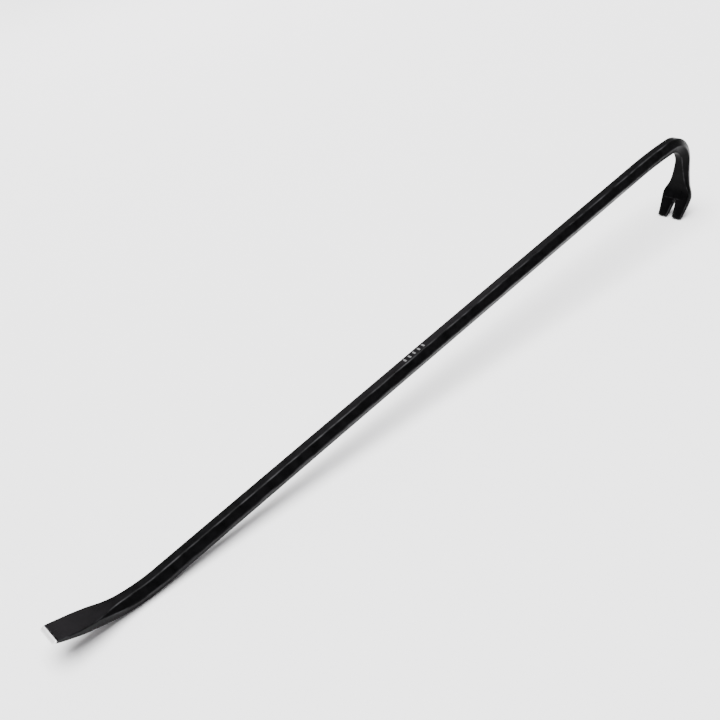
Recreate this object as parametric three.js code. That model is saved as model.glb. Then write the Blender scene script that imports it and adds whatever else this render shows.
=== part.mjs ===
// Hexagonal pry bar: one steel forging with a bent chisel at one end and a
// gooseneck with a slotted nail claw at the other.
// Millimetres, +Z up, +X along the bar towards the claw, Y across the width.
// The bar lies hook down, on its two claw tips and on the heel of the chisel bend.

import * as THREE from "three";

// ---- driving dimensions (mm, degrees) -------------------------------------------------

// hexagonal stock; a broken corner takes at most the given share of a narrow flat
const ACROSS_FLATS = 19.0;
const EDGE_BREAK = 1.1;
const EDGE_BREAK_SHARE = 0.35;
const SHANK_LENGTH = 790.0;

// chisel end, bent up and back
const CHISEL_BEND_RADIUS = 174.0;
const CHISEL_BEND_ANGLE = 21.0;
const BLADE_LENGTH = 58.0;
const BLADE_CURVE_ANGLE = 8.0;
const GROUND_EDGE_LENGTH = 3.6;

// where the flat blade and the swelling neck end, measured from the chisel tip
const BLADE_END = 62.0;
const NECK_END = 116.0;

// gooseneck
const LEAD_LENGTH = 70.0;
const LEAD_ANGLE = 6.7;
const HOOK_RADIUS = 28.4;
const HOOK_ANGLE = 96.5;

// claw
const CLAW_LENGTH = 80.0;
const CLAW_CURVE_ANGLE = 40.8;
const PALM_LENGTH = 54.5;
const SLOT_ROOT_WIDTH = 2.2;
const SLOT_MOUTH_WIDTH = 8.6;
const SLOT_ROOT_ROUNDING = 2.4;

// tilt of the shank at rest, claw end higher
const REST_TILT = 6.4351;

// longest step between two sections of each zone
const BLADE_STEP = 6.5;
const NECK_STEP = 7.0;
const LEAD_STEP = 14.0;
const HOOK_STEP = 3.6;
const PALM_STEP = 4.6;
const SLOT_ROOT_STEP = 0.8;
const TINE_STEP = 4.7;

// decimals kept in a coordinate
const DECIMALS = 4;

// section rows: distance from the end of the bar, half width, half flat on top, half flat
// below, half thickness, height of the widest corner, offset from the centre line
const HEX_CORNER = ACROSS_FLATS / Math.sqrt(3);
const HEX_ROW = [HEX_CORNER, HEX_CORNER / 2, HEX_CORNER / 2, ACROSS_FLATS / 2, 0, 0];
const CHISEL_ROWS = [
  [0, 13.9, 13.5, 12.6, 0.75, 0.3, -1.35],
  [GROUND_EDGE_LENGTH, 14.9, 14.4, 13.2, 2.1, 1.5, 0],
  [26, 15.7, 15.1, 12.9, 3.9, 3.2, 0],
  [46, 13.9, 12.9, 10.4, 5.7, 4.5, 0],
  [60, 12.2, 9.0, 8.4, 7.1, 2.9, 0],
  [76, 11.3, 6.2, 6.6, 8.6, 0.9, 0],
  [98, ...HEX_ROW],
  [110, ...HEX_ROW],
];
const CLAW_ROWS = [
  [0, 18.0, 17.3, 17.3, 2.0, 0, 0],
  [31, 21.2, 20.3, 20.3, 4.4, 0, 0],
  [36, 20.2, 19.0, 19.2, 4.9, 0, 0],
  [50, 14.3, 11.2, 11.8, 7.2, -0.5, 0],
  [66, 11.7, 6.8, 7.8, 9.1, -1.2, 0],
  [84, ...HEX_ROW],
  [94, ...HEX_ROW],
];

// ---- small helpers ----------------------------------------------------------------------

const radians = (degrees) => (degrees * Math.PI) / 180;
const rounded = (value) => Number(value.toFixed(DECIMALS));

// Smooth interpolation through the section rows that never overshoots a row.
function sectionAt(rows, distance) {
  const last = rows.length - 1;
  if (distance <= rows[0][0]) return rows[0].slice(1);
  if (distance >= rows[last][0]) return rows[last].slice(1);
  const i = rows.findIndex((row) => row[0] > distance) - 1;
  const span = rows[i + 1][0] - rows[i][0];
  const u = (distance - rows[i][0]) / span;
  return [1, 2, 3, 4, 5, 6].map((column) => {
    const slope = (k) => {
      if (k < 0 || k >= last) return null;
      return (rows[k + 1][column] - rows[k][column]) / (rows[k + 1][0] - rows[k][0]);
    };
    const tangent = (k) => {
      const before = slope(k - 1);
      const after = slope(k);
      if (before === null) return after;
      if (after === null) return before;
      return before * after <= 0 ? 0 : (2 * before * after) / (before + after);
    };
    const a = rows[i][column];
    const b = rows[i + 1][column];
    const u2 = u * u;
    const u3 = u2 * u;
    return (
      (2 * u3 - 3 * u2 + 1) * a +
      (u3 - 2 * u2 + u) * span * tangent(i) +
      (3 * u2 - 2 * u3) * b +
      (u3 - u2) * span * tangent(i + 1)
    );
  });
}

// ---- centre line ------------------------------------------------------------------------

// Stretches of constant curvature from the chisel tip to the claw tips.
const STRETCHES = [
  { length: BLADE_LENGTH, turn: BLADE_CURVE_ANGLE },
  { length: CHISEL_BEND_RADIUS * radians(CHISEL_BEND_ANGLE), turn: CHISEL_BEND_ANGLE },
  { length: SHANK_LENGTH, turn: 0 },
  { length: LEAD_LENGTH, turn: -LEAD_ANGLE },
  { length: HOOK_RADIUS * radians(HOOK_ANGLE), turn: -HOOK_ANGLE },
  { length: CLAW_LENGTH, turn: -CLAW_CURVE_ANGLE },
];
const BAR_LENGTH = STRETCHES.reduce((sum, stretch) => sum + stretch.length, 0);

// Point and direction of the centre line at a distance from the chisel tip.
function centreAt(distance) {
  let heading = radians(REST_TILT - BLADE_CURVE_ANGLE - CHISEL_BEND_ANGLE);
  let x = 0;
  let z = 0;
  let left = Math.min(Math.max(distance, 0), BAR_LENGTH);
  for (const { length, turn } of STRETCHES) {
    const run = Math.min(left, length);
    const bend = radians(turn) * (run / length);
    const chord = bend === 0 ? run : (run * Math.sin(bend / 2)) / (bend / 2);
    x += chord * Math.cos(heading + bend / 2);
    z += chord * Math.sin(heading + bend / 2);
    heading += bend;
    left -= run;
    if (left <= 0) break;
  }
  return { x, z, heading };
}

// ---- cross-sections ---------------------------------------------------------------------

// Half of a hexagonal section with broken corners, from the top slot line to the bottom one.
function halfSection([halfWidth, topFlat, bottomFlat, thickness, widest, offset], slotHalf) {
  const corners = [
    [slotHalf, thickness],
    [topFlat, thickness],
    [halfWidth, widest],
    [bottomFlat, -thickness],
    [slotHalf, -thickness],
  ];
  const points = [corners[0]];
  for (let i = 1; i <= 3; i += 1) {
    for (const neighbour of [corners[i - 1], corners[i + 1]]) {
      const dy = neighbour[0] - corners[i][0];
      const dz = neighbour[1] - corners[i][1];
      const reach = Math.min(EDGE_BREAK / Math.hypot(dy, dz), EDGE_BREAK_SHARE);
      points.push([corners[i][0] + dy * reach, corners[i][1] + dz * reach]);
    }
  }
  points.push(corners[4]);
  return points.map(([y, z]) => [y, z + offset]);
}

// Places section points on the plane square to the centre line.
function placeSection(points, distance, side) {
  const { x, z, heading } = centreAt(distance);
  return points.map(([across, up]) => [
    x - up * Math.sin(heading),
    across * side,
    z + up * Math.cos(heading),
  ]);
}

// Section shape at a distance from the chisel tip.
function shapeAt(distance) {
  const fromClaw = BAR_LENGTH - distance;
  return fromClaw < distance ? sectionAt(CLAW_ROWS, fromClaw) : sectionAt(CHISEL_ROWS, distance);
}

// Slot half width at a distance from the chisel tip. The root opens from half its width to
// the whole of it along a quarter wave. The bar ahead of the slot keeps the narrow value as
// a pair of lines on its faces.
const SLOT_START = BAR_LENGTH - CLAW_LENGTH + PALM_LENGTH;
const ROOT_HALF = SLOT_ROOT_WIDTH / 2;
const MOUTH_HALF = SLOT_MOUTH_WIDTH / 2;
function slotHalfAt(distance) {
  const run = distance - SLOT_START;
  if (run <= 0) return ROOT_HALF / 2;
  const opening = Math.sin((Math.min(run / SLOT_ROOT_ROUNDING, 1) * Math.PI) / 2);
  const along = run / (BAR_LENGTH - SLOT_START);
  return (ROOT_HALF * (1 + opening)) / 2 + (MOUTH_HALF - ROOT_HALF) * along;
}

// ---- meshes -----------------------------------------------------------------------------

const REST = { x: 0, z: 0 };

// Closed solid through a row of matching rings. Cap triangles are fans over the listed runs
// of ring points, so that two solids that share a section also share its triangles.
function loft(rings, capRuns) {
  const count = rings[0].length;
  const positions = rings.flat().flatMap(([x, y, z]) => [
    rounded(x - REST.x),
    rounded(y),
    rounded(z - REST.z),
  ]);
  const faces = [];
  for (let r = 0; r + 1 < rings.length; r += 1) {
    for (let i = 0; i < count; i += 1) {
      const a = r * count + i;
      const b = r * count + ((i + 1) % count);
      faces.push(a, a + count, b);
      faces.push(b, a + count, b + count);
    }
  }
  const end = (rings.length - 1) * count;
  for (const run of capRuns) {
    for (let k = 1; k + 1 < run.length; k += 1) {
      faces.push(run[0], run[k], run[k + 1]);
      faces.push(end + run[0], end + run[k + 1], end + run[k]);
    }
  }
  const indexed = new THREE.BufferGeometry();
  indexed.setAttribute("position", new THREE.Float32BufferAttribute(positions, 3));
  indexed.setIndex(faces);
  indexed.computeVertexNormals();
  return indexed;
}

// Whole section: the +Y half runs down, the -Y half runs up.
function fullRing(distance) {
  const half = halfSection(shapeAt(distance), slotHalfAt(Math.min(distance, SLOT_START)));
  const left = placeSection(half, distance, 1);
  const right = placeSection(half, distance, -1);
  return [...left, ...right.reverse()];
}
const HALF_CAP = [0, 1, 2, 3, 4, 5, 6, 7];
const FULL_CAPS = [HALF_CAP, [15, 0, 7, 8], HALF_CAP.map((point) => point + HALF_CAP.length)];

// One tine: only the half section outside the slot.
function tineRing(distance, side) {
  const half = halfSection(shapeAt(distance), slotHalfAt(distance));
  const placed = placeSection(half, distance, side);
  return side > 0 ? placed : placed.reverse();
}

// Distances from one station to another in steps no longer than the given one.
function stations(from, to, step) {
  const count = Math.max(1, Math.ceil((to - from) / step - 1e-9));
  return Array.from({ length: count + 1 }, (_, i) => from + ((to - from) * i) / count);
}

const CHISEL_END = BLADE_LENGTH + CHISEL_BEND_RADIUS * radians(CHISEL_BEND_ANGLE);
const SHANK_END = CHISEL_END + SHANK_LENGTH;
const HOOK_START = SHANK_END + LEAD_LENGTH;
const HOOK_END = BAR_LENGTH - CLAW_LENGTH;

const ZONES = {
  chisel_edge: stations(0, GROUND_EDGE_LENGTH, GROUND_EDGE_LENGTH),
  chisel_blade: stations(GROUND_EDGE_LENGTH, BLADE_END, BLADE_STEP),
  chisel_neck: stations(BLADE_END, NECK_END, NECK_STEP),
  hex_shank: [...stations(NECK_END, CHISEL_END, NECK_STEP), SHANK_END],
  gooseneck: [
    ...stations(SHANK_END, HOOK_START, LEAD_STEP),
    ...stations(HOOK_START, HOOK_END, HOOK_STEP).slice(1),
  ],
  claw_palm: stations(HOOK_END, SLOT_START, PALM_STEP),
};
const TINE_STATIONS = [
  ...stations(SLOT_START, SLOT_START + SLOT_ROOT_ROUNDING, SLOT_ROOT_STEP),
  ...stations(SLOT_START + SLOT_ROOT_ROUNDING, BAR_LENGTH, TINE_STEP).slice(1),
];

// Floor height and middle of the bar at rest.
function settle() {
  const points = Object.values(ZONES)
    .flat()
    .concat(TINE_STATIONS)
    .flatMap((distance) => fullRing(distance));
  const xs = points.map((point) => point[0]);
  REST.x = (Math.min(...xs) + Math.max(...xs)) / 2;
  REST.z = Math.min(...points.map((point) => point[2]));
}
settle();

// ---- materials and assembly -------------------------------------------------------------

const FINISHES = {
  black_enamel: { color: 0x17171a, roughness: 0.42, metalness: 0.15 },
  ground_steel: { color: 0xd9dadc, roughness: 0.3, metalness: 0.95 },
};

function addMesh(group, name, finish, geometry) {
  const material = new THREE.MeshStandardMaterial({ name: finish, ...FINISHES[finish] });
  const mesh = new THREE.Mesh(geometry, material);
  mesh.name = name;
  group.add(mesh);
}

const bar = new THREE.Group();
bar.name = "pry_bar";

for (const [name, distances] of Object.entries(ZONES)) {
  const finish = name === "chisel_edge" ? "ground_steel" : "black_enamel";
  addMesh(bar, name, finish, loft(distances.map(fullRing), FULL_CAPS));
}
for (const [name, side] of [["left", 1], ["right", -1]]) {
  const rings = TINE_STATIONS.map((distance) => tineRing(distance, side));
  addMesh(bar, `claw_tine_${name}`, "black_enamel", loft(rings, [HALF_CAP]));
}

export default bar;
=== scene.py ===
"""Hexagonal pry bar: black enamelled forging with a ground chisel edge, on a pale floor."""
import math

import bmesh
import bpy
from mathutils import Matrix, Vector


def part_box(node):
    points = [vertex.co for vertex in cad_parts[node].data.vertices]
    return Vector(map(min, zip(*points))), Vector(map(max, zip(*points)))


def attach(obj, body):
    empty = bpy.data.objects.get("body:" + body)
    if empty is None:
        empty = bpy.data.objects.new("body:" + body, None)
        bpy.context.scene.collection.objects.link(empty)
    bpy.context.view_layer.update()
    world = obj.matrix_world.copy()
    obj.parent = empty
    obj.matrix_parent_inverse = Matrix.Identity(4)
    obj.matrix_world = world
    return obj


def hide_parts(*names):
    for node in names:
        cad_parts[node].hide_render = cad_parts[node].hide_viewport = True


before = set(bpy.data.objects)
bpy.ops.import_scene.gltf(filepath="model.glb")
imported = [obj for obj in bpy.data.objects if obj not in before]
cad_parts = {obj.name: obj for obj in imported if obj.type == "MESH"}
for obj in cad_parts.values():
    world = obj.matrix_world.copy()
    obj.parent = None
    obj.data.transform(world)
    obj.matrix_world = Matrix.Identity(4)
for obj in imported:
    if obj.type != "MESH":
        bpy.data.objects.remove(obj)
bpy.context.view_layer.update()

# ---- sizes of the bar, in millimetres and degrees ------------------------------------

MM = 0.001
ACROSS_FLATS = 19.0
HEX_CORNER = ACROSS_FLATS / math.sqrt(3.0)
REST_TILT = 6.4351

# chisel end; the neck has run out into the hexagon at NECK_END
GROUND_EDGE_LENGTH = 3.6
NECK_END = 116.0
BLADE_LENGTH = 58.0
BLADE_CURVE_ANGLE = 8.0
CHISEL_BEND_RADIUS = 174.0
CHISEL_BEND_ANGLE = 21.0

# shank, gooseneck and claw
SHANK_LENGTH = 790.0
LEAD_LENGTH = 70.0
LEAD_ANGLE = 6.7
HOOK_RADIUS = 28.4
HOOK_ANGLE = 96.5
CLAW_LENGTH = 80.0
CLAW_CURVE_ANGLE = 40.8

# length and turn of each stretch of the centre line, from the chisel tip to the claw tips
STRETCHES = (
    (BLADE_LENGTH, BLADE_CURVE_ANGLE),
    (CHISEL_BEND_RADIUS * math.radians(CHISEL_BEND_ANGLE), CHISEL_BEND_ANGLE),
    (SHANK_LENGTH, 0.0),
    (LEAD_LENGTH, -LEAD_ANGLE),
    (HOOK_RADIUS * math.radians(HOOK_ANGLE), -HOOK_ANGLE),
    (CLAW_LENGTH, -CLAW_CURVE_ANGLE),
)
BAR_LENGTH = sum(length for length, _ in STRETCHES)
SHANK_FROM = STRETCHES[0][0] + STRETCHES[1][0]
SHANK_TO = SHANK_FROM + SHANK_LENGTH
HOOK_FROM = SHANK_TO + LEAD_LENGTH
HOOK_TO = BAR_LENGTH - CLAW_LENGTH

# nail slot: the root opens from the line half width over SLOT_ROUNDING, and the corners
# beside the slot reach their full rounding over SLOT_CORNER_RUN
SLOT_LENGTH = 25.5
SLOT_FROM = BAR_LENGTH - SLOT_LENGTH
SLOT_ROOT_HALF = 1.1
SLOT_MOUTH_HALF = 4.3
SLOT_LINE_HALF = SLOT_ROOT_HALF * 0.5
SLOT_ROUNDING = 2.4
SLOT_CORNER = 1.1
SLOT_CORNER_RUN = 2.0

# distance from the end, half width, half flat on top, half flat below, half thickness,
# height of the widest corner, offset from the centre line, rounding of the corners
HEX_ROW = (HEX_CORNER, HEX_CORNER / 2, HEX_CORNER / 2, ACROSS_FLATS / 2, 0.0, 0.0, 1.15)
CHISEL_ROWS = (
    (0.0, 13.9, 13.5, 12.6, 0.75, 0.3, -1.35, 0.3),
    (GROUND_EDGE_LENGTH, 14.9, 14.4, 13.2, 2.1, 1.5, 0.0, 0.35),
    (26.0, 15.7, 15.1, 12.9, 3.9, 3.2, 0.0, 0.9),
    (46.0, 13.9, 12.9, 10.4, 5.7, 4.5, 0.0, 1.0),
    (60.0, 12.2, 9.0, 8.4, 7.1, 2.9, 0.0, 1.1),
    (76.0, 11.3, 6.2, 6.6, 8.6, 0.9, 0.0, 1.1),
    (98.0,) + HEX_ROW,
    (110.0,) + HEX_ROW,
)
CLAW_ROWS = (
    (0.0, 18.0, 17.3, 17.3, 2.0, 0.0, 0.0, 0.5),
    (31.0, 21.2, 20.3, 20.3, 4.4, 0.0, 0.0, 0.7),
    (36.0, 20.2, 19.0, 19.2, 4.9, 0.0, 0.0, 0.8),
    (50.0, 14.3, 11.2, 11.8, 7.2, -0.5, 0.0, 1.0),
    (66.0, 11.7, 6.8, 7.8, 9.1, -1.2, 0.0, 1.1),
    (84.0,) + HEX_ROW,
    (94.0,) + HEX_ROW,
)

# a rounded corner: its points, and the largest share of a flat that it takes
CORNER_STEPS = 5
CORNER_SHARE = 0.42
SHORTEST_FLAT = 1e-6

# longest step between two sections
EDGE_STEP = 0.6
BLADE_STEP = 2.0
SHANK_STEP = 10.0
LEAD_STEP = 3.5
HOOK_STEP = 1.3
PALM_STEP = 1.2
SLOT_ROOT_STEP = 0.3
TINE_STEP = 1.2

# last section at a tip, drawn in to a share of its size to break the edge
TINE_TIP_BREAK = 0.5
TINE_TIP_GAP = 0.02
TINE_TIP_SHARE = 0.965
EDGE_TIP_SHARE = 0.985
EDGE_TIP_PUSH = -0.12

# printed marks, along by across
MARK_COUNT = 5
MARK_CENTRE = 493.0
MARK_PITCH = 7.4
MARK_SIZE = (2.3, 5.0)
MARK_CORNER = 0.6
MARK_CORNER_STEPS = 5
MARK_THICKNESS = 0.06
MARK_SUNK = 0.05

# mesh clean-up in metres, and the weight of large faces in the shading normals
MERGE_DISTANCE = 2e-6
DEGENERATE_LENGTH = 1e-7
FLAT_WEIGHT = 80

# an edge wears from the first angle, and fully after a further range
WEAR_ANGLE = 11.0
WEAR_RANGE = 5.0


# ---- centre line and sections --------------------------------------------------------


def row_tangent(rows, k, column):
    """Slope of a column at row k that never makes the curve overshoot."""
    def slope(i):
        return (rows[i + 1][column] - rows[i][column]) / (rows[i + 1][0] - rows[i][0])

    if k == 0:
        return slope(0)
    if k == len(rows) - 1:
        return slope(k - 1)
    before, after = slope(k - 1), slope(k)
    return 0.0 if before * after <= 0 else 2 * before * after / (before + after)


def rows_at(rows, distance):
    """Section values at a distance from the end of the bar."""
    if distance <= rows[0][0]:
        return rows[0][1:]
    if distance >= rows[-1][0]:
        return rows[-1][1:]
    i = max(k for k, row in enumerate(rows) if row[0] <= distance)
    span = rows[i + 1][0] - rows[i][0]
    u = (distance - rows[i][0]) / span
    values = []
    for column in range(1, len(rows[0])):
        values.append(
            (2 * u**3 - 3 * u**2 + 1) * rows[i][column]
            + (u**3 - 2 * u**2 + u) * span * row_tangent(rows, i, column)
            + (3 * u**2 - 2 * u**3) * rows[i + 1][column]
            + (u**3 - u**2) * span * row_tangent(rows, i + 1, column)
        )
    return tuple(values)


def shape_at(distance):
    """Section values at a distance from the chisel tip."""
    if distance < BAR_LENGTH / 2:
        return rows_at(CHISEL_ROWS, distance)
    return rows_at(CLAW_ROWS, BAR_LENGTH - distance)


def half_thickness(distance):
    _, _, _, thickness, _, _, _ = shape_at(distance)
    return thickness


def centre_at(distance):
    """Point and heading of the centre line, before the bar is set on the floor."""
    heading = math.radians(REST_TILT - BLADE_CURVE_ANGLE - CHISEL_BEND_ANGLE)
    x = z = 0.0
    left = min(max(distance, 0.0), BAR_LENGTH)
    for length, turn in STRETCHES:
        run = min(left, length)
        bend = math.radians(turn) * run / length
        chord = run if bend == 0 else run * math.sin(bend / 2) / (bend / 2)
        x += chord * math.cos(heading + bend / 2)
        z += chord * math.sin(heading + bend / 2)
        heading += bend
        left -= run
        if left <= 0:
            break
    return x, z, heading


def slot_half(distance):
    """Half width of the nail slot, or of the pair of lines ahead of it."""
    run = distance - SLOT_FROM
    if run <= 0:
        return SLOT_LINE_HALF
    opening = 1.0 if run >= SLOT_ROUNDING else math.sin(run / SLOT_ROUNDING * math.pi / 2)
    flare = (SLOT_MOUTH_HALF - SLOT_ROOT_HALF) * run / SLOT_LENGTH
    return SLOT_LINE_HALF + (SLOT_ROOT_HALF - SLOT_LINE_HALF) * opening + flare


def rounded_corner(before, corner, after, reach):
    """Points of a smooth arc that replaces a corner."""
    points = []
    ends = []
    for other in (before, after):
        gap = math.hypot(other[0] - corner[0], other[1] - corner[1])
        part = min(reach / max(gap, SHORTEST_FLAT), CORNER_SHARE)
        ends.append([corner[i] + (other[i] - corner[i]) * part for i in (0, 1)])
    for step in range(CORNER_STEPS):
        t = step / (CORNER_STEPS - 1)
        points.append([
            (1 - t) ** 2 * ends[0][i] + 2 * t * (1 - t) * corner[i] + t**2 * ends[1][i]
            for i in (0, 1)
        ])
    return points


def half_section(distance, slot, slot_rounding):
    """Half of the section from the slot line on top to the slot line below."""
    width, top, bottom, thickness, widest, offset, rounding = shape_at(distance)
    corners = [[slot, thickness], [top, thickness], [width, widest], [bottom, -thickness],
               [slot, -thickness]]
    slot_middle = [slot, 0.0]
    points = rounded_corner(slot_middle, corners[0], corners[1], slot_rounding)
    for i in (1, 2, 3):
        points += rounded_corner(corners[i - 1], corners[i], corners[i + 1], rounding)
    points += rounded_corner(corners[3], corners[4], slot_middle, slot_rounding)
    return [(y, z + offset) for y, z in points]


# ---- the frame of the CAD part --------------------------------------------------------


def set_on_floor():
    """Shift, in metres, that brings the centre line into the row frame."""
    lowest_corner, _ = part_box("claw_tine_left")
    x, z, heading = centre_at(BAR_LENGTH)
    thickness = half_thickness(BAR_LENGTH)
    lowest = z * MM - thickness * MM * abs(math.cos(heading))
    nearest = x * MM - thickness * MM * abs(math.sin(heading))
    return Vector((lowest_corner[0] - nearest, 0.0, lowest_corner[2] - lowest))


SHIFT = set_on_floor()


def place(point, distance, side=1.0):
    """Section point to the row frame, in metres."""
    x, z, heading = centre_at(distance)
    across, up = point
    return Vector((
        (x - up * math.sin(heading)) * MM + SHIFT.x,
        across * side * MM,
        (z + up * math.cos(heading)) * MM + SHIFT.z,
    ))


def stations(start, stop, step):
    """Distances from start to stop in equal steps no longer than the given one."""
    count = max(1, math.ceil((stop - start) / step - 1e-9))
    return [start + (stop - start) * i / count for i in range(count + 1)]


def join_runs(*runs):
    """One run out of several, where each starts at the end of the one before it."""
    joined = list(runs[0])
    for run in runs[1:]:
        joined += run[1:]
    return joined


# ---- meshes ---------------------------------------------------------------------------


def new_object(name, mesh_builder, material):
    """Smooth-shaded object whose large flats keep their own shading normal."""
    bm = bmesh.new()
    mesh_builder(bm)
    bmesh.ops.remove_doubles(bm, verts=bm.verts, dist=MERGE_DISTANCE)
    bmesh.ops.dissolve_degenerate(bm, edges=bm.edges, dist=DEGENERATE_LENGTH)
    bmesh.ops.recalc_face_normals(bm, faces=bm.faces)
    mesh = bpy.data.meshes.new(name)
    bm.to_mesh(mesh)
    bm.free()
    mesh.shade_smooth()
    obj = bpy.data.objects.new(name, mesh)
    bpy.context.scene.collection.objects.link(obj)
    obj.data.materials.append(material)
    flats = obj.modifiers.new("flat_shading_on_flats", "WEIGHTED_NORMAL")
    flats.weight = FLAT_WEIGHT
    flats.keep_sharp = True
    return obj


def skin(bm, rings):
    """Faces between matching closed rings of vertices."""
    grid = [[bm.verts.new(p) for p in ring] for ring in rings]
    count = len(grid[0])
    for a, b in zip(grid, grid[1:]):
        for i in range(count):
            j = (i + 1) % count
            bm.faces.new([a[i], b[i], b[j], a[j]])
    return grid


def full_ring(distance):
    """Whole section, out of its +Y half and the mirrored one."""
    half = half_section(distance, SLOT_LINE_HALF, 0.0)
    left = [place(p, distance, 1.0) for p in half]
    right = [place(p, distance, -1.0) for p in half]
    return left + right[::-1]


def tine_ring(distance, side):
    """Section of one tine, outside the slot."""
    run = distance - SLOT_FROM
    rounding = SLOT_CORNER * min(1.0, run / SLOT_CORNER_RUN)
    half = half_section(distance, slot_half(distance), rounding)
    return [place(p, distance, side) for p in half]


def shrink(ring, distance, share, push):
    """Ring drawn in towards its own middle and pushed along the bar."""
    middle = sum(ring, Vector()) / len(ring)
    heading = centre_at(distance)[2]
    along = Vector((math.cos(heading), 0.0, math.sin(heading))) * push * MM
    return [middle + (p - middle) * share + along for p in ring]


def build_forging(bm):
    """Blade, neck, shank, gooseneck and palm in one skin, then the two tines."""
    body = join_runs(
        stations(GROUND_EDGE_LENGTH, NECK_END, BLADE_STEP),
        stations(NECK_END, SHANK_FROM, BLADE_STEP),
        stations(SHANK_FROM, SHANK_TO, SHANK_STEP),
        stations(SHANK_TO, HOOK_FROM, LEAD_STEP),
        stations(HOOK_FROM, HOOK_TO, HOOK_STEP),
        stations(HOOK_TO, SLOT_FROM, PALM_STEP),
    )
    grid = skin(bm, [full_ring(d) for d in body])
    bm.faces.new(grid[0])
    end = grid[-1]
    half = len(end) // 2
    bm.faces.new([end[i] for i in (half - 1, half, 2 * half - 1, 0)])
    tine = join_runs(
        stations(SLOT_FROM, SLOT_FROM + SLOT_ROUNDING, SLOT_ROOT_STEP),
        stations(SLOT_FROM + SLOT_ROUNDING, BAR_LENGTH - TINE_TIP_BREAK, TINE_STEP),
    )
    for side in (1.0, -1.0):
        rings = [tine_ring(d, side) for d in tine]
        tip = tine_ring(BAR_LENGTH - TINE_TIP_GAP, side)
        rings.append(shrink(tip, BAR_LENGTH, TINE_TIP_SHARE, 0.0))
        tine_grid = skin(bm, rings)
        bm.faces.new(tine_grid[-1])


def build_ground_edge(bm):
    """Bevelled wedge at the end of the blade."""
    rings = [full_ring(d) for d in stations(0.0, GROUND_EDGE_LENGTH, EDGE_STEP)]
    tip = shrink(rings[0], 0.0, EDGE_TIP_SHARE, EDGE_TIP_PUSH)
    grid = skin(bm, [tip] + rings)
    bm.faces.new(grid[0])
    bm.faces.new(grid[-1])


def mark_outline(middle):
    """Rounded rectangle on the upper flat, as distances along and across the bar."""
    length, height = MARK_SIZE
    outline = []
    for along, across, start in ((1, 1, 0), (-1, 1, 90), (-1, -1, 180), (1, -1, 270)):
        for step in range(MARK_CORNER_STEPS):
            angle = math.radians(start + step * 90 / (MARK_CORNER_STEPS - 1))
            outline.append((
                middle + along * (length / 2 - MARK_CORNER) + MARK_CORNER * math.cos(angle),
                across * (height / 2 - MARK_CORNER) + MARK_CORNER * math.sin(angle),
            ))
    return outline


def build_marks(bm):
    """Row of small plain printed blocks on the upper flat."""
    for k in range(MARK_COUNT):
        top = []
        low = []
        middle = MARK_CENTRE + (k - (MARK_COUNT - 1) / 2) * MARK_PITCH
        for along, across in mark_outline(middle):
            face = half_thickness(along)
            top.append(bm.verts.new(place((across, face + MARK_THICKNESS), along)))
            low.append(bm.verts.new(place((across, face - MARK_SUNK), along)))
        bm.faces.new(top)
        bm.faces.new(low[::-1])
        for i in range(len(top)):
            j = (i + 1) % len(top)
            bm.faces.new((top[i], low[i], low[j], top[j]))


def paint_edge_mask(obj):
    """Per-vertex measure of how sharply the skin bends there."""
    mesh = obj.data
    mask = mesh.attributes.new("edge_wear", "FLOAT", "POINT")
    bm = bmesh.new()
    bm.from_mesh(mesh)
    values = []
    for vert in bm.verts:
        bend = 0.0
        for edge in vert.link_edges:
            if len(edge.link_faces) == 2:
                bend = max(bend, edge.calc_face_angle(0.0))
        values.append(min(1.0, max(0.0, (math.degrees(bend) - WEAR_ANGLE) / WEAR_RANGE)))
    bm.free()
    mask.data.foreach_set("value", values)


# ---- materials --------------------------------------------------------------------------

# sockets of the colour mix node
MIX_FACTOR, MIX_A, MIX_B, MIX_RESULT = 0, 6, 7, 2

FULL_RANGE = (0.0, 1.0)


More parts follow.
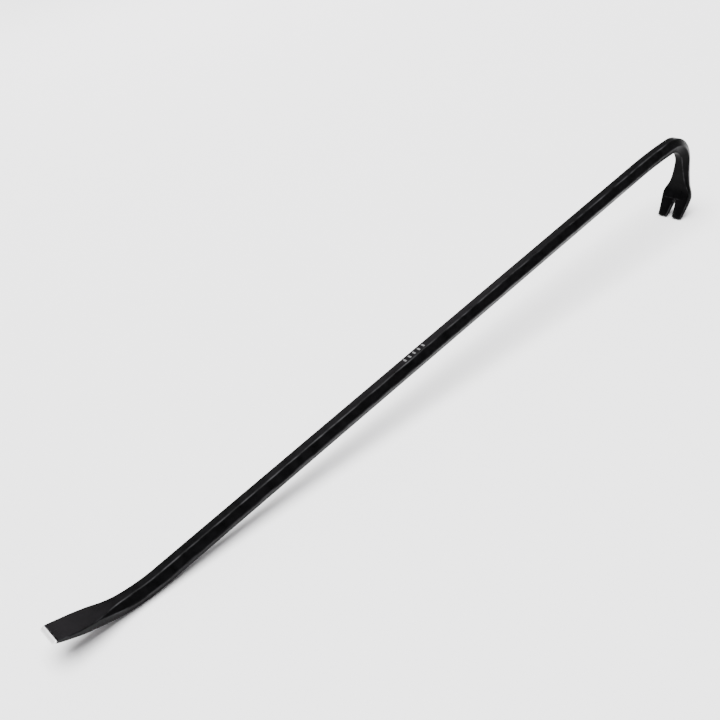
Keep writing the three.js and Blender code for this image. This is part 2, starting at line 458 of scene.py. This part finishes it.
class Graph:
    """Short spelling for building a node material."""

    def __init__(self, name):
        self.material = bpy.data.materials.new(name)
        self.material.use_nodes = True
        self.nodes = self.material.node_tree.nodes
        self.links = self.material.node_tree.links
        self.shader = next(n for n in self.nodes if n.type == "BSDF_PRINCIPLED")

    def add(self, kind, **settings):
        """New node; a setting is an input of that name, or else a property."""
        node = self.nodes.new(kind)
        for key, value in settings.items():
            if key in node.inputs.keys():
                node.inputs[key].default_value = value
            else:
                setattr(node, key, value)
        return node

    def put(self, value, socket):
        """Sets a socket to a constant, or links it to another node's output."""
        if isinstance(value, (int, float, tuple)):
            socket.default_value = value
        else:
            self.links.new(value, socket)

    def surface(self, **settings):
        """Inputs of the surface shader, an underscore standing for a space."""
        for key, value in settings.items():
            self.put(value, self.shader.inputs[key.replace("_", " ")])

    def coordinates(self, scale=(1.0, 1.0, 1.0)):
        """Object coordinates, stretched along the axes with a small scale."""
        source = self.add("ShaderNodeTexCoord")
        mapping = self.add("ShaderNodeMapping", Scale=scale)
        self.put(source.outputs["Object"], mapping.inputs["Vector"])
        return mapping.outputs["Vector"]

    def noise(self, coordinates, scale, detail=4.0, roughness=0.55):
        node = self.add("ShaderNodeTexNoise", Scale=scale, Detail=detail, Roughness=roughness)
        self.put(coordinates, node.inputs["Vector"])
        return node.outputs["Fac"]

    def edge_wear(self):
        return self.add("ShaderNodeAttribute", attribute_name="edge_wear").outputs["Fac"]

    def remap(self, source, seen, wanted=FULL_RANGE):
        """Moves the seen range of a value to the wanted one."""
        node = self.add("ShaderNodeMapRange")
        for name, value in zip(("From Min", "From Max", "To Min", "To Max"), seen + wanted):
            node.inputs[name].default_value = value
        self.put(source, node.inputs["Value"])
        return node.outputs["Result"]

    def math(self, operation, a, b):
        node = self.add("ShaderNodeMath", operation=operation)
        self.put(a, node.inputs[0])
        self.put(b, node.inputs[1])
        return node.outputs[0]

    def mix_colour(self, factor, a, b):
        node = self.add("ShaderNodeMix", data_type="RGBA")
        for index, value in ((MIX_FACTOR, factor), (MIX_A, a), (MIX_B, b)):
            self.put(value, node.inputs[index])
        return node.outputs[MIX_RESULT]

    def bump(self, height, strength, distance, below=None):
        node = self.add("ShaderNodeBump", Strength=strength, Distance=distance)
        self.put(height, node.inputs["Height"])
        if below is not None:
            self.put(below, node.inputs["Normal"])
        return node.outputs["Normal"]


ENAMEL_DEEP = (0.0012, 0.0012, 0.0013, 1.0)
ENAMEL_THIN = (0.0027, 0.0026, 0.0029, 1.0)
ENAMEL_WORN = (0.035, 0.035, 0.037, 1.0)
ENAMEL_ROUGHNESS = (0.26, 0.36)
ENAMEL_WORN_ROUGHNESS = 0.08
ENAMEL_IOR = 1.12


def black_enamel():
    """Satin black enamel: faint mottling, forging waviness under it, thin at the edges."""
    graph = Graph("black_enamel")
    even = graph.coordinates()
    drawn = graph.coordinates((0.25, 1.0, 1.0))
    mottling = graph.noise(even, 90.0, 5.0)
    dimples = graph.noise(even, 900.0, 3.0)
    waves = graph.noise(drawn, 45.0, 3.0)
    patches = graph.remap(graph.noise(drawn, 160.0, 5.0), (0.42, 0.66))
    worn = graph.math("MULTIPLY", graph.edge_wear(), patches)
    coat = graph.mix_colour(graph.remap(mottling, (0.35, 0.65)), ENAMEL_DEEP, ENAMEL_THIN)
    satin = graph.remap(mottling, (0.3, 0.7), ENAMEL_ROUGHNESS)
    under = graph.bump(waves, strength=0.35, distance=0.0004)
    graph.surface(
        Base_Color=graph.mix_colour(worn, coat, ENAMEL_WORN),
        Roughness=graph.math("ADD", satin, graph.math("MULTIPLY", worn, ENAMEL_WORN_ROUGHNESS)),
        Metallic=0.0,
        IOR=ENAMEL_IOR,
        Normal=graph.bump(dimples, strength=0.22, distance=0.00006, below=under),
    )
    return graph.material


STEEL_BRIGHT = (0.97, 0.965, 0.97, 1.0)
STEEL_DULL = (0.82, 0.815, 0.82, 1.0)
STEEL_TARNISH = (0.0, 0.7)
STEEL_EDGE_POLISH = 0.5
STEEL_ROUGHNESS = (0.42, 0.56)
STEEL_METALLIC = 0.9


def ground_steel():
    """Bare ground steel: fine grinding lines across the bevel and a little tarnish."""
    graph = Graph("ground_steel")
    grinding = graph.noise(graph.coordinates((1.0, 0.06, 1.0)), 2600.0)
    tarnish = graph.remap(graph.noise(graph.coordinates(), 240.0), (0.35, 0.7), STEEL_TARNISH)
    metal = graph.mix_colour(tarnish, STEEL_BRIGHT, STEEL_DULL)
    polish = graph.math("MULTIPLY", graph.edge_wear(), STEEL_EDGE_POLISH)
    graph.surface(
        Base_Color=graph.mix_colour(polish, metal, STEEL_BRIGHT),
        Roughness=graph.remap(grinding, (0.3, 0.7), STEEL_ROUGHNESS),
        Metallic=STEEL_METALLIC,
        Normal=graph.bump(grinding, strength=0.3, distance=0.00008),
    )
    return graph.material


INK_RUBBED = (0.045, 0.045, 0.047, 1.0)
INK_WHOLE = (0.12, 0.12, 0.12, 1.0)
INK_ROUGHNESS = (0.45, 0.6)


def printed_white():
    """Thin pale print with rubbed, uneven ink."""
    graph = Graph("printed_white")
    ink = graph.noise(graph.coordinates(), 1400.0)
    graph.surface(
        Base_Color=graph.mix_colour(graph.remap(ink, (0.4, 0.62)), INK_RUBBED, INK_WHOLE),
        Roughness=graph.remap(ink, (0.3, 0.7), INK_ROUGHNESS),
        Normal=graph.bump(ink, strength=0.1, distance=0.00003),
    )
    return graph.material


FLOOR_DEEP = (0.90, 0.90, 0.905, 1.0)
FLOOR_PALE = (0.92, 0.92, 0.925, 1.0)
FLOOR_ROUGHNESS = 0.9


def pale_floor():
    """Even, pale studio floor with the faintest grain."""
    graph = Graph("pale_floor")
    grain = graph.noise(graph.coordinates(), 8.0, 3.0)
    graph.surface(
        Base_Color=graph.mix_colour(grain, FLOOR_DEEP, FLOOR_PALE),
        Roughness=FLOOR_ROUGHNESS,
    )
    return graph.material


# ---- the object -------------------------------------------------------------------------

forging = new_object("bar_forging", build_forging, black_enamel())
paint_edge_mask(forging)
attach(forging, "root")
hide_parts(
    "chisel_blade", "chisel_neck", "hex_shank", "gooseneck", "claw_palm",
    "claw_tine_left", "claw_tine_right",
)

edge = new_object("ground_edge", build_ground_edge, ground_steel())
paint_edge_mask(edge)
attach(edge, "root")
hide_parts("chisel_edge")

marks = new_object("print_marks", build_marks, printed_white())
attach(marks, "root")
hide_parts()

# ---- stage, light and camera, in metres, degrees and watts ------------------------------

FLOOR_RADIUS = 25.0
FLOOR_SIDES = 128

# the overhead light is a wide sun, and each card is a square lamp
OVERHEAD_PLACE = (0.0, 0.0, 3.0)
OVERHEAD_STRENGTH = 10.5
OVERHEAD_ANGLE = 60.0
BACK_CARD_PLACE = (1.2, 2.6, 2.3)
BACK_CARD_TARGET = (0.0, 0.0, 0.05)
BACK_CARD_SIZE = 2.6
BACK_CARD_POWER = 7.0
BLADE_CARD_PLACE = (1.1, 2.25, 1.25)
BLADE_CARD_TARGET = (-0.45, 0.0, 0.03)
BLADE_CARD_SIZE = 1.3
BLADE_CARD_POWER = 15.0
BLADE_CARD_TINT = (1.0, 0.9, 1.0)
ROOM_COLOUR = (1.0, 1.0, 1.0, 1.0)
ROOM_LIGHT = 0.36

CAMERA_PLACE = (-0.5825, -0.7647, 0.6873)
CAMERA_HEADING = -32.68
CAMERA_ELEVATION = 33.04
CAMERA_ROLL = -14.73
CAMERA_LENS = 50.0
CAMERA_SENSOR = 36.0
CAMERA_NEAR = 0.01
CAMERA_FAR = 60.0


def add_floor():
    mesh = bpy.data.meshes.new("floor")
    bm = bmesh.new()
    bmesh.ops.create_circle(bm, cap_ends=True, segments=FLOOR_SIDES, radius=FLOOR_RADIUS)
    bm.to_mesh(mesh)
    bm.free()
    floor = bpy.data.objects.new("floor", mesh)
    floor.data.materials.append(pale_floor())
    bpy.context.scene.collection.objects.link(floor)


def add_light(name, kind, origin, target, **settings):
    """Lamp at the origin that faces the target."""
    data = bpy.data.lights.new(name, kind)
    for key, value in settings.items():
        setattr(data, key, value)
    light = bpy.data.objects.new(name, data)
    light.location = origin
    facing = Vector(target) - Vector(origin)
    light.rotation_euler = facing.to_track_quat("-Z", "Y").to_euler()
    bpy.context.scene.collection.objects.link(light)


def add_room_light():
    world = bpy.data.worlds.new("room")
    world.use_nodes = True
    background = world.node_tree.nodes["Background"]
    background.inputs["Color"].default_value = ROOM_COLOUR
    background.inputs["Strength"].default_value = ROOM_LIGHT
    bpy.context.scene.world = world


def add_camera():
    data = bpy.data.cameras.new("camera")
    data.lens = CAMERA_LENS
    data.sensor_width = CAMERA_SENSOR
    data.clip_start = CAMERA_NEAR
    data.clip_end = CAMERA_FAR
    camera = bpy.data.objects.new("camera", data)
    turn = Matrix.Rotation(math.radians(CAMERA_HEADING), 4, "Z")
    tip_down = Matrix.Rotation(math.radians(90.0 - CAMERA_ELEVATION), 4, "X")
    roll = Matrix.Rotation(math.radians(CAMERA_ROLL), 4, "Z")
    camera.matrix_world = Matrix.Translation(CAMERA_PLACE) @ turn @ tip_down @ roll
    bpy.context.scene.collection.objects.link(camera)
    bpy.context.scene.camera = camera


add_floor()
add_light("overhead", "SUN", OVERHEAD_PLACE, (0.0, 0.0, 0.0),
          energy=OVERHEAD_STRENGTH, angle=math.radians(OVERHEAD_ANGLE))
add_light("back_card", "AREA", BACK_CARD_PLACE, BACK_CARD_TARGET,
          shape="SQUARE", size=BACK_CARD_SIZE, energy=BACK_CARD_POWER)
add_light("blade_card", "AREA", BLADE_CARD_PLACE, BLADE_CARD_TARGET, shape="SQUARE",
          size=BLADE_CARD_SIZE, energy=BLADE_CARD_POWER, color=BLADE_CARD_TINT)
add_room_light()
add_camera()

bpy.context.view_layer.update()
